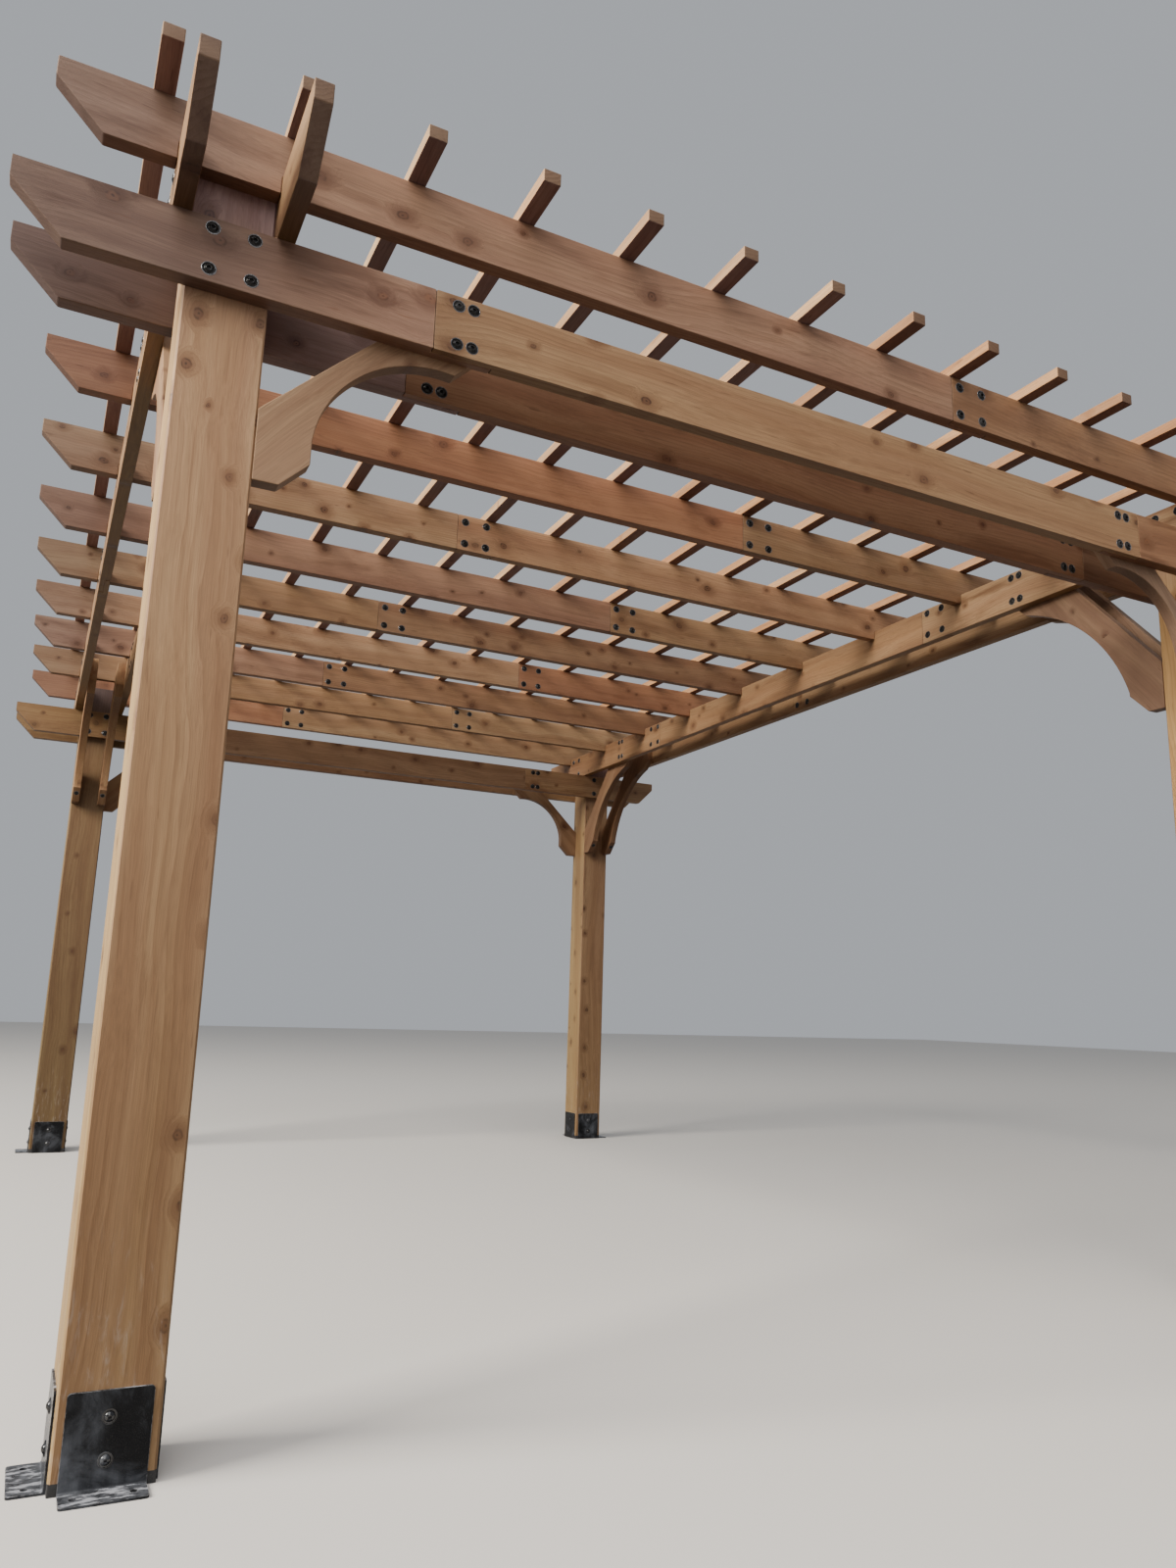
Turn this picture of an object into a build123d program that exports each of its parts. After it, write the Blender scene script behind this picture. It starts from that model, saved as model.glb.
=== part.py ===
from build123d import *
import os

# Free-standing timber pergola. Millimetres, Z up, origin at the centre of the footprint on the ground.
# X runs along the front, Y from front to back.

# Timber sections
POST = 152
POST_EDGE = 4
BOARD_T = 34
BEAM_H = 130
RAFTER_H = 124
SLAT_W = 38
SLAT_H = 28

# Post grid and heights
SPAN_X = 2830
SPAN_Y = 4044
PAD_H = 18
FRONT_BEAM_Z = 1993
NOTCH_DEPTH = 34
NOTCH_PLAY = 0.5

# Overhangs measured from the post centres
FRONT_TAIL = 368
SIDE_TAIL = 375
RAFTER_TAIL = 321
SLAT_TAIL = 241
BEAM_END_FACE = 40
RAFTER_END_FACE = 38

# Roof layout
RAFTER_COUNT = 10
SLAT_COUNT = 14
SLAT_OUTSIDE_POST = 145

# Half-lap splices: beams measured from the post centres, rafters from their own middle.
# The outer side boards have one at their middle instead.
LAP = 128
BUTT_GAP = 1
FRONT_SPLICE = 454
REAR_SPLICE = 430
SIDE_SPLICE = 968
RAFTER_SPLICE = 412

# Knee braces, measured out from the post face and down from the underside of the beam
BRACE_T = 34
BRACE_HEEL = 142
NOSE_CUT = 50
NOSE_DROP = 25
SHORT_DROP = 343
SHORT_RUN = 422
SHORT_BACK = 208
SHORT_FOOT = 48
SHORT_TOE = 54
SHORT_SHANK = 48
SHORT_BOW = 0.21
LONG_DROP = 468
LONG_RUN = 548
LONG_BACK = 288
LONG_FOOT = 54
LONG_TOE = 62
LONG_SHANK = 10
LONG_BOW = 0.131

# Steel feet
PLATE_T = 4
PLATE_W = 124
PLATE_TOP = 140
PLATE_CORNER = 6
FLANGE_OUT = 50
BEND_R = 3
ANCHOR_HOLE_D = 11
ANCHOR_HALF_PITCH = 42

# Derived levels and planes
FRONT_BEAM_TOP = FRONT_BEAM_Z + BEAM_H
SIDE_BEAM_TOP = FRONT_BEAM_TOP + BEAM_H
RAFTER_Z = SIDE_BEAM_TOP - NOTCH_DEPTH
RAFTER_TOP = RAFTER_Z + RAFTER_H
BOARD_OFFSET = (POST + BOARD_T) / 2
POST_X = SPAN_X / 2
POST_Y = SPAN_Y / 2
RAFTER_PITCH = (SPAN_Y + 2 * BOARD_OFFSET) / (RAFTER_COUNT - 1)
SLAT_PITCH = (SPAN_X + 2 * SLAT_OUTSIDE_POST) / (SLAT_COUNT - 1)

CORNERS = {
    "front_left": (-1, -1),
    "front_right": (1, -1),
    "rear_left": (-1, 1),
    "rear_right": (1, 1),
}


def block(x0, x1, y0, y1, z0, z1):
    """Return a box given by its limits."""
    return Pos(x0, y0, z0) * Box(x1 - x0, y1 - y0, z1 - z0, align=(Align.MIN, Align.MIN, Align.MIN))


def tailed_board(half_length, height, end_face, z0):
    """Return a board along X on the plane y = 0 with both lower corners cut off at 45 degrees."""
    cut = height - end_face
    outline = Polyline(
        (-half_length, z0 + height),
        (half_length, z0 + height),
        (half_length, z0 + cut),
        (half_length - cut, z0),
        (-half_length + cut, z0),
        (-half_length, z0 + cut),
        close=True,
    )
    return extrude(Plane.XZ * make_face(outline), BOARD_T / 2, both=True)


def lapped_piece(board, left, right):
    """Cut one length out of a board between two half-lap joints.

    Each joint is the centre of its lap and the side of the left piece's tongue: 1 puts it on the back
    of the board, -1 on the front. None leaves the board's own end.
    """
    reach = SPAN_X + SPAN_Y
    halves = []
    for side in (-1, 1):
        x0, x1 = -reach, reach
        if left is not None:
            centre, tongue = left
            x0 = centre + (LAP if tongue == side else -LAP) / 2 + BUTT_GAP / 2
        if right is not None:
            centre, tongue = right
            x1 = centre + (LAP if tongue == side else -LAP) / 2 - BUTT_GAP / 2
        y0, y1 = sorted((0, side * BOARD_T))
        halves.append(block(x0, x1, y0, y1, 0, reach))
    return board & (halves[0] + halves[1])


def beam_lengths(half_span, tail, splice, z0):
    """Return the left end, centre and right end lengths of one spliced beam board.

    The end lengths have their tongues on the back, so the back shows the butt lines nearer the middle.
    """
    board = tailed_board(half_span + tail, BEAM_H, BEAM_END_FACE, z0)
    left_joint = (splice - half_span, 1)
    right_joint = (half_span - splice, -1)
    return (
        lapped_piece(board, None, left_joint),
        lapped_piece(board, left_joint, right_joint),
        lapped_piece(board, right_joint, None),
    )


def rafter_lengths(joint_x):
    """Return the two lengths of one rafter, notched over the four side beam boards."""
    board = tailed_board(POST_X + RAFTER_TAIL, RAFTER_H, RAFTER_END_FACE, RAFTER_Z)
    half_notch = BOARD_T / 2 + NOTCH_PLAY
    for post in (-POST_X, POST_X):
        for face in (-BOARD_OFFSET, BOARD_OFFSET):
            x = post + face
            board -= block(x - half_notch, x + half_notch, -BOARD_T, BOARD_T, 0, SIDE_BEAM_TOP)
    joint = (joint_x, 1)
    return lapped_piece(board, None, joint), lapped_piece(board, joint, None)


def knee_brace(beam_z, drop, run, back, foot, toe_cut, shank, bow):
    """Return a curved brace leaning away from the plane x = 0, centred on y = 0.

    It stands on the post face over the heel, runs up its straight back, goes on between the beam boards
    to their top, and comes down over the cut nose and along the hollow curve to the cut toe. The bow is
    the depth of that curve as a share of its chord.
    """
    toe = (foot + toe_cut, toe_cut)
    bow_start = (toe[0], toe_cut + shank)
    nose = (run - NOSE_CUT, drop - NOSE_DROP)
    rise = drop + BEAM_H
    back_run = back * (rise - BRACE_HEEL) / (drop - BRACE_HEEL)
    chord = Vector(*nose) - Vector(*bow_start)
    edge = Polyline(
        bow_start,
        toe,
        (foot, 0),
        (0, 0),
        (0, BRACE_HEEL),
        (back_run, rise),
        (run, rise),
        (run, nose[1] + NOSE_CUT),
        nose,
    )
    hollow = SagittaArc(bow_start, nose, bow * chord.length)
    face = make_face([edge, hollow])
    return Pos(0, 0, beam_z - drop) * extrude(Plane.XZ * face, BRACE_T / 2, both=True)


def face_plate():
    """Return the upright steel plate standing on the plane x = 0, rounded at its top corners."""
    plate = block(0, PLATE_T, -PLATE_W / 2, PLATE_W / 2, 0, PLATE_TOP)
    top_corners = plate.edges().filter_by(Axis.X).group_by(Axis.Z)[-1]
    return fillet(top_corners, PLATE_CORNER)


def anchor_plate():
    """Return the upright plate with a ground flange bent outwards and two anchor holes."""
    reach = PLATE_T + FLANGE_OUT
    section = Polyline(
        (0, 0),
        (reach, 0),
        (reach, PLATE_T),
        (PLATE_T, PLATE_T),
        (PLATE_T, PLATE_TOP),
        (0, PLATE_TOP),
        close=True,
    )
    plate = extrude(Plane.XZ * make_face(section), PLATE_W / 2, both=True)
    uprights = plate.edges().filter_by(Axis.X).group_by(Axis.Z)[-1]
    plate = fillet(uprights, PLATE_CORNER)
    flange_corners = plate.edges().filter_by(Axis.Z).group_by(Axis.X)[-1]
    plate = fillet(flange_corners, PLATE_CORNER)
    creases = plate.edges().filter_by(Axis.Y)
    inner = creases.filter_by_position(Axis.X, PLATE_T - 0.1, PLATE_T + 0.1)
    plate = fillet(inner.filter_by_position(Axis.Z, PLATE_T - 0.1, PLATE_T + 0.1), BEND_R)
    hole = Cylinder(ANCHOR_HOLE_D / 2, 3 * PLATE_T)
    for y in (-ANCHOR_HALF_PITCH, ANCHOR_HALF_PITCH):
        plate -= Pos(PLATE_T + FLANGE_OUT / 2, y, 0) * hole
    return plate


def save(shapes, name):
    """Write one node; like pieces share it as separate solids."""
    shape = Compound(children=shapes) if isinstance(shapes, list) else shapes
    export_step(shape, f"parts/{name}.step")


def heading(outward):
    """Return the turn about Z that points +X along the given side of an axis."""
    return {(1, 0): 0, (0, 1): 90, (-1, 0): 180, (0, -1): 270}[outward]


os.makedirs("parts", exist_ok=True)

# Posts stand on the pads and end level with the side beams
post = block(-POST / 2, POST / 2, -POST / 2, POST / 2, PAD_H, SIDE_BEAM_TOP)
post = chamfer(post.edges().filter_by(Axis.Z), POST_EDGE)
pad = block(-POST / 2, POST / 2, -POST / 2, POST / 2, 0, PAD_H)
for corner, (sx, sy) in CORNERS.items():
    save(Pos(sx * POST_X, sy * POST_Y, 0) * post, f"post_{corner}")

# Feet: a pad under each post, flanged plates on the two outward faces, plain plates on the inward ones
pads = []
cover_plates = []
for corner, (sx, sy) in CORNERS.items():
    centre = Pos(sx * POST_X, sy * POST_Y, 0)
    pads.append(centre * pad)
    anchors = []
    for outward in ((sx, 0), (0, sy)):
        anchors.append(centre * Rot(0, 0, heading(outward)) * Pos(POST / 2, 0, 0) * anchor_plate())
        inward = (-outward[0], -outward[1])
        cover_plates.append(centre * Rot(0, 0, heading(inward)) * Pos(POST / 2, 0, 0) * face_plate())
    save(anchors, f"foot_anchors_{corner}")
save(pads, "foot_pads")
save(cover_plates, "foot_cover_plates")

# Front and rear beams: a pair of spliced boards on the post faces, their backs towards the middle
for name, sy, degrees, splice in (("front", -1, 0, FRONT_SPLICE), ("rear", 1, 180, REAR_SPLICE)):
    turn = Rot(0, 0, degrees)
    left_end, centre_board, right_end = beam_lengths(POST_X, FRONT_TAIL, splice, FRONT_BEAM_Z)
    rows = [Pos(0, sy * POST_Y + offset, 0) * turn for offset in (-BOARD_OFFSET, BOARD_OFFSET)]
    save([row * centre_board for row in rows], f"{name}_beam_centre_boards")
    save([row * end for row in rows for end in (left_end, right_end)], f"{name}_beam_end_boards")

# Side beams one level up, resting on the front and rear beams: inner boards in three, outer boards in two
near_end, middle_board, far_end = beam_lengths(POST_Y, SIDE_TAIL, SIDE_SPLICE, FRONT_BEAM_TOP)
outer_board = tailed_board(POST_Y + SIDE_TAIL, BEAM_H, BEAM_END_FACE, FRONT_BEAM_TOP)
near_half = lapped_piece(outer_board, None, (0, 1))
far_half = lapped_piece(outer_board, (0, 1), None)
for name, sx, turn in (("left", -1, Rot(0, 0, -90)), ("right", 1, Rot(0, 0, 90))):
    inner = Pos(sx * (POST_X - BOARD_OFFSET), 0, 0) * turn
    outer = Pos(sx * (POST_X + BOARD_OFFSET), 0, 0) * turn
    save(inner * middle_board, f"{name}_beam_centre_boards")
    save([inner * near_end, inner * far_end, outer * near_half, outer * far_half], f"{name}_beam_end_boards")

# Rafters, spliced alternately right and left of the middle
for index in range(RAFTER_COUNT):
    joint_x = RAFTER_SPLICE if index % 2 == 0 else -RAFTER_SPLICE
    row = Pos(0, -POST_Y - BOARD_OFFSET + index * RAFTER_PITCH, 0)
    left_board, right_board = rafter_lengths(joint_x)
    save(row * left_board, f"rafter_{index + 1:02d}_left")
    save(row * right_board, f"rafter_{index + 1:02d}_right")

# Knee braces: one under each front or rear beam, a pair under each side beam
short_brace = knee_brace(
    FRONT_BEAM_Z, SHORT_DROP, SHORT_RUN, SHORT_BACK, SHORT_FOOT, SHORT_TOE, SHORT_SHANK, SHORT_BOW
)
long_brace = knee_brace(
    FRONT_BEAM_TOP, LONG_DROP, LONG_RUN, LONG_BACK, LONG_FOOT, LONG_TOE, LONG_SHANK, LONG_BOW
)
flush = (POST - BRACE_T) / 2
for corner, (sx, sy) in CORNERS.items():
    centre = Pos(sx * POST_X, sy * POST_Y, 0)
    turn = Rot(0, 0, heading((-sx, 0)))
    pieces = [centre * Pos(0, sy * flush, 0) * turn * Pos(POST / 2, 0, 0) * short_brace]
    for side in (-flush, flush):
        turn = Rot(0, 0, heading((0, -sy)))
        pieces.append(centre * Pos(side, 0, 0) * turn * Pos(POST / 2, 0, 0) * long_brace)
    save(pieces, f"knee_braces_{corner}")

# Slats across the rafters
slat_half = POST_Y + SLAT_TAIL
slat = block(-SLAT_W / 2, SLAT_W / 2, -slat_half, slat_half, RAFTER_TOP, RAFTER_TOP + SLAT_H)
slats = [Pos(-POST_X - SLAT_OUTSIDE_POST + i * SLAT_PITCH, 0, 0) * slat for i in range(SLAT_COUNT)]
save(slats[: SLAT_COUNT // 2], "slats_left")
save(slats[SLAT_COUNT // 2 :], "slats_right")
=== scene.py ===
import logging
import math
from collections.abc import Iterator
from dataclasses import dataclass
from enum import Enum
from itertools import product

import bmesh
import bpy
from mathutils import Matrix, Vector


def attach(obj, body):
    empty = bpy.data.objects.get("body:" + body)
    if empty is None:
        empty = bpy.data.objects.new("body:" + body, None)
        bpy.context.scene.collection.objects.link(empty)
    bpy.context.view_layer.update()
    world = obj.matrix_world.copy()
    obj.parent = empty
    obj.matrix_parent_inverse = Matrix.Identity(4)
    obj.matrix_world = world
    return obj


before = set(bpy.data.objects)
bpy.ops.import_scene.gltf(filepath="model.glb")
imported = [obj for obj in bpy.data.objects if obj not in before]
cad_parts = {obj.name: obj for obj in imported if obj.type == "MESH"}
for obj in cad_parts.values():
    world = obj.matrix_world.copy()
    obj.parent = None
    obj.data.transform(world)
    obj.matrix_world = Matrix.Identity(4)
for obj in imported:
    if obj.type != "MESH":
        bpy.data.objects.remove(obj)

logging.basicConfig(level=logging.INFO, format="%(message)s")
log = logging.getLogger("pergola")

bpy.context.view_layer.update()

Point = tuple[float, float, float]
Colour = tuple[float, float, float]
Row = tuple[float, ...]
Node = bpy.types.Node
Socket = bpy.types.NodeSocket
Sockets = bpy.types.bpy_prop_collection
Tree = bpy.types.NodeTree
Material = bpy.types.Material
HeadFinishes = tuple[Material, Material]

BOARD_EDGE = 0.0022
SLAT_EDGE = 0.0018
PLATE_EDGE = 0.0009
PAD_EDGE = 0.0015
BOLT_PAIR = (-0.0375, 0.0375)

MIDDLE = (0.5, 0.5, 0.5)
WHOLE = 100.0  # a cell wider than the pergola
NO_TAIL = 10.0  # past the end of every board


class Grain(Enum):
    """Order in which object axes become length, height and depth of a timber."""

    FRONT_BOARD = ("X", "Z", "Y")
    SIDE_BOARD = ("Y", "Z", "X")
    SLAT = ("Y", "X", "Z")
    POST = ("Z", "X", "Y")
    POST_SIDE = ("Z", "Y", "X")

    @property
    def along(self) -> str:
        """Name of the axis that the fibres run along."""
        return self.value[0]


class Shade(Enum):
    """Early and late wood colours of one length of timber."""

    TAN = ((0.455, 0.298, 0.178), (0.305, 0.178, 0.099))
    HONEY = ((0.46, 0.280, 0.150), (0.32, 0.170, 0.082))
    CLAY = ((0.36, 0.235, 0.135), (0.25, 0.143, 0.076))
    ORANGE = ((0.42, 0.275, 0.172), (0.285, 0.168, 0.098))
    RED = ((0.385, 0.206, 0.120), (0.26, 0.124, 0.068))
    ROSE = ((0.34, 0.206, 0.138), (0.200, 0.108, 0.068))
    DUSK = ((0.178, 0.116, 0.091), (0.118, 0.073, 0.057))
    STONE = ((0.28, 0.190, 0.132), (0.20, 0.128, 0.086))
    BROWN = ((0.29, 0.180, 0.110), (0.180, 0.098, 0.056))
    OLIVE = ((0.35, 0.228, 0.130), (0.225, 0.135, 0.072))
    UMBER = ((0.22, 0.150, 0.080), (0.145, 0.085, 0.045))
    SAND = ((0.375, 0.256, 0.159), (0.265, 0.162, 0.097))
    PALE = ((0.57, 0.390, 0.225), (0.38, 0.235, 0.130))


# Node helpers


class Wiring:
    """Short calls that add nodes to one tree and link them."""

    def __init__(self, tree: Tree) -> None:
        """Keep the tree that the nodes go into."""
        self.tree = tree

    def feed(self, socket: Socket, value: object) -> None:
        """Link an output socket to an input socket, or set the input's value.

        Args:
            socket: The input socket.
            value: An output socket, a number, a vector, or a colour without its alpha.
        """
        if isinstance(value, Socket):
            self.tree.links.new(value, socket)
        else:
            socket.default_value = (*value, 1.0) if socket.type == "RGBA" else value

    def add(
        self,
        kind: str,
        settings: dict[str, object] | None = None,
        numbered: dict[int, object] | None = None,
        **named: object,
    ) -> Node:
        """Add a node, set its options, and fill its inputs.

        Args:
            kind: Node type without its ShaderNode prefix.
            settings: Attribute values of the node.
            numbered: Input number to a value or an output socket.
            named: Input name, with underscores for spaces, to a value or an output socket.

        Returns:
            The new node.
        """
        node = self.tree.nodes.new(f"ShaderNode{kind}")
        for key, value in (settings or {}).items():
            setattr(node, key, value)
        for number, value in (numbered or {}).items():
            self.feed(node.inputs[number], value)
        for key, value in named.items():
            self.feed(node.inputs[key.replace("_", " ")], value)
        return node

    def math(self, operation: str, *values: object) -> Socket:
        """Add a Math node and return its output."""
        return self.add("Math", {"operation": operation}, dict(enumerate(values))).outputs[0]

    def times(self, first: object, second: object) -> Socket:
        """Return one number times another."""
        return self.math("MULTIPLY", first, second)

    def vector(self, operation: str, *values: object) -> Socket:
        """Add a Vector Math node and return its vector, or its value for a length or dot product."""
        node = self.add("VectorMath", {"operation": operation}, dict(enumerate(values)))
        return node.outputs["Value" if operation in ("LENGTH", "DOT_PRODUCT") else "Vector"]

    def scaled(self, vector: object, factor: object) -> Socket:
        """Return a vector times one number."""
        return self.add("VectorMath", {"operation": "SCALE"}, Vector=vector, Scale=factor).outputs["Vector"]

    def centred(self, vector: object) -> Socket:
        """Return a vector of values from 0 to 1 moved to lie round zero."""
        return self.vector("SUBTRACT", vector, MIDDLE)

    def split(self, vector: object) -> Sockets:
        """Return the X, Y and Z of a vector."""
        return self.add("SeparateXYZ", Vector=vector).outputs

    def join(self, *values: object) -> Socket:
        """Return the vector of three numbers."""
        return self.add("CombineXYZ", None, dict(enumerate(values))).outputs[0]

    def remap(
        self, value: object, low: float, high: float, to_low: float = 0.0, to_high: float = 1.0
    ) -> Socket:
        """Return a value eased from one range to another with a smooth step."""
        numbered = dict(enumerate((value, low, high, to_low, to_high)))
        return self.add("MapRange", {"interpolation_type": "SMOOTHSTEP"}, numbered).outputs["Result"]

    def mix(self, factor: object, first: object, second: object, blend: str = "MIX") -> Socket:
        """Return two colours mixed by a factor."""
        settings = {"data_type": "RGBA", "blend_type": blend}
        return self.add("Mix", settings, {0: factor, 6: first, 7: second}).outputs[2]

    def tinted(self, colour: object, tint: object) -> Socket:
        """Return a colour times a tint."""
        return self.mix(1.0, colour, tint, "MULTIPLY")

    def shaded(self, mask: object, colour: object, tint: object) -> Socket:
        """Return a colour that is tinted where a mask is set."""
        return self.mix(mask, colour, self.tinted(colour, tint))

    def choose(self, second_wins: object, first: object, second: object) -> Socket:
        """Return one of two vectors."""
        return self.add("Mix", {"data_type": "VECTOR"}, {0: second_wins, 4: first, 5: second}).outputs[1]

    def noise(self, vector: object, scale: object, detail: float = 2.0, roughness: float = 0.5) -> Sockets:
        """Add a Noise Texture and return its outputs."""
        return self.add("TexNoise", Vector=vector, Scale=scale, Detail=detail, Roughness=roughness).outputs

    def stretched(self, place: object, density: Point, detail: float, roughness: float = 0.5) -> Sockets:
        """Add a Noise Texture with its own density along each axis and return its outputs."""
        return self.noise(self.vector("MULTIPLY", place, density), 1.0, detail, roughness)

    def group(self, tree: Tree, **named: object) -> Sockets:
        """Place a node group, fill its inputs and return its outputs."""
        return self.add("Group", {"node_tree": tree}, **named).outputs


class GroupWiring(Wiring):
    """The wiring of a new shader node group."""

    def __init__(self, name: str, inputs: dict[str, float | Point | None], outputs: tuple[str, ...]) -> None:
        """Make the group and its sockets.

        Args:
            name: Name of the group.
            inputs: Socket name to its number or vector, or to None for a vector that is always linked.
            outputs: Socket names. Position is a vector, and the others are numbers.
        """
        super().__init__(bpy.data.node_groups.new(name, "ShaderNodeTree"))
        sockets = self.tree.interface
        for label, value in inputs.items():
            kind = "NodeSocketFloat" if isinstance(value, float) else "NodeSocketVector"
            socket = sockets.new_socket(name=label, in_out="INPUT", socket_type=kind)
            if value is not None:
                socket.default_value = value
        for label in outputs:
            kind = "NodeSocketVector" if label == "Position" else "NodeSocketFloat"
            sockets.new_socket(name=label, in_out="OUTPUT", socket_type=kind)
        self.given = self.tree.nodes.new("NodeGroupInput").outputs
        self.sink = self.tree.nodes.new("NodeGroupOutput")

    def give(self, **values: Socket) -> Tree:
        """Link the group's outputs.

        Args:
            values: Output name to the socket that it gives.

        Returns:
            The finished group.
        """
        for label, value in values.items():
            self.feed(self.sink.inputs[label], value)
        return self.tree


class MaterialWiring(Wiring):
    """The wiring of a new material, with the object's own coordinates at hand."""

    def __init__(self, name: str) -> None:
        """Make the material and its coordinate nodes.

        Args:
            name: Name of the material.
        """
        self.made = bpy.data.materials.new(name)
        self.made.use_nodes = True
        super().__init__(self.made.node_tree)
        self.tree.nodes.clear()
        coordinates = self.add("TexCoord").outputs
        self.place = coordinates["Object"]
        self.axes = self.split(self.place)
        self.facing = self.split(coordinates["Normal"])

    def laid(self, grain: Grain) -> Socket:
        """Return the place as length, height and depth of a timber."""
        return self.join(*(self.axes[axis] for axis in grain.value))

    def leaning(self, grain: Grain, angle: float) -> Socket:
        """Return the same for fibres that lean by an angle."""
        turn = self.add("VectorRotate", {"rotation_type": "Z_AXIS"}, Vector=self.laid(grain), Angle=angle)
        return turn.outputs[0]

    def close(self, height: Socket, strength: float, depth: float, **shading: object) -> Material:
        """Give the material its relief, its shader and its output.

        Args:
            height: Height of the relief.
            strength: Strength of the relief.
            depth: Depth of the relief in metres.
            shading: Inputs of the Principled shader.

        Returns:
            The finished material.
        """
        bump = self.add("Bump", Strength=strength, Distance=depth, Height=height)
        shader = self.add("BsdfPrincipled", Normal=bump.outputs["Normal"], **shading)
        self.add("OutputMaterial", Surface=shader.outputs["BSDF"])
        return self.made


@dataclass(frozen=True)
class Pattern:
    """A noise with its own density along each axis, and the limits that it is eased between."""

    density: Point
    detail: float
    roughness: float = 0.5
    limits: Row = ()

    def draw(self, w: Wiring, place: Socket) -> Socket:
        """Return the pattern's strength at a place."""
        made = w.stretched(place, self.density, self.detail, self.roughness)["Fac"]
        return w.remap(made, *self.limits) if self.limits else made


# Effects shared by the timber and steel finishes

SLOW_BEND, QUICK_BEND = (0.8, 1.5, 1.5), (3.0, 11.0, 11.0)
BEND_REACH, QUICK_REACH, KNOT_SWIRL = 0.16, 0.0192, 0.016
RIPPLE = Pattern((1.4, 26.0, 26.0), 3.0)
FADING = Pattern((0.9, 14.0, 14.0), 2.0, 0.5, (0.30, 0.68, 0.15, 1.0))
FIGURES = {
    "Bands": Pattern((0.7, 20.0, 20.0), 4.0, 0.6, (0.30, 0.70)),
    "Streaks": Pattern((1.9, 150.0, 150.0), 3.0, 0.6, (0.54, 0.74)),
    "Blotches": Pattern((2.4, 15.0, 15.0), 4.0, 0.62, (0.53, 0.70)),
    "Sapwood": Pattern((0.6, 13.0, 13.0), 2.0, 0.5, (0.36, 0.64)),
    "Fibre": Pattern((9.0, 620.0, 620.0), 3.0, 0.65),
    "Flecks": Pattern((14.0, 130.0, 130.0), 1.0, 0.5, (0.70, 0.80)),
}
KNOT_RINGS = {  # from where a ring of a knot is nothing to where it is full, in knot radii
    "core": (1.25, 0.78),
    "halo": (3.9, 0.9),
    "rim_inside": (0.45, 0.92),
    "rim_outside": (1.45, 0.95),
    "pith": (0.34, 0.10),
}


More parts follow.
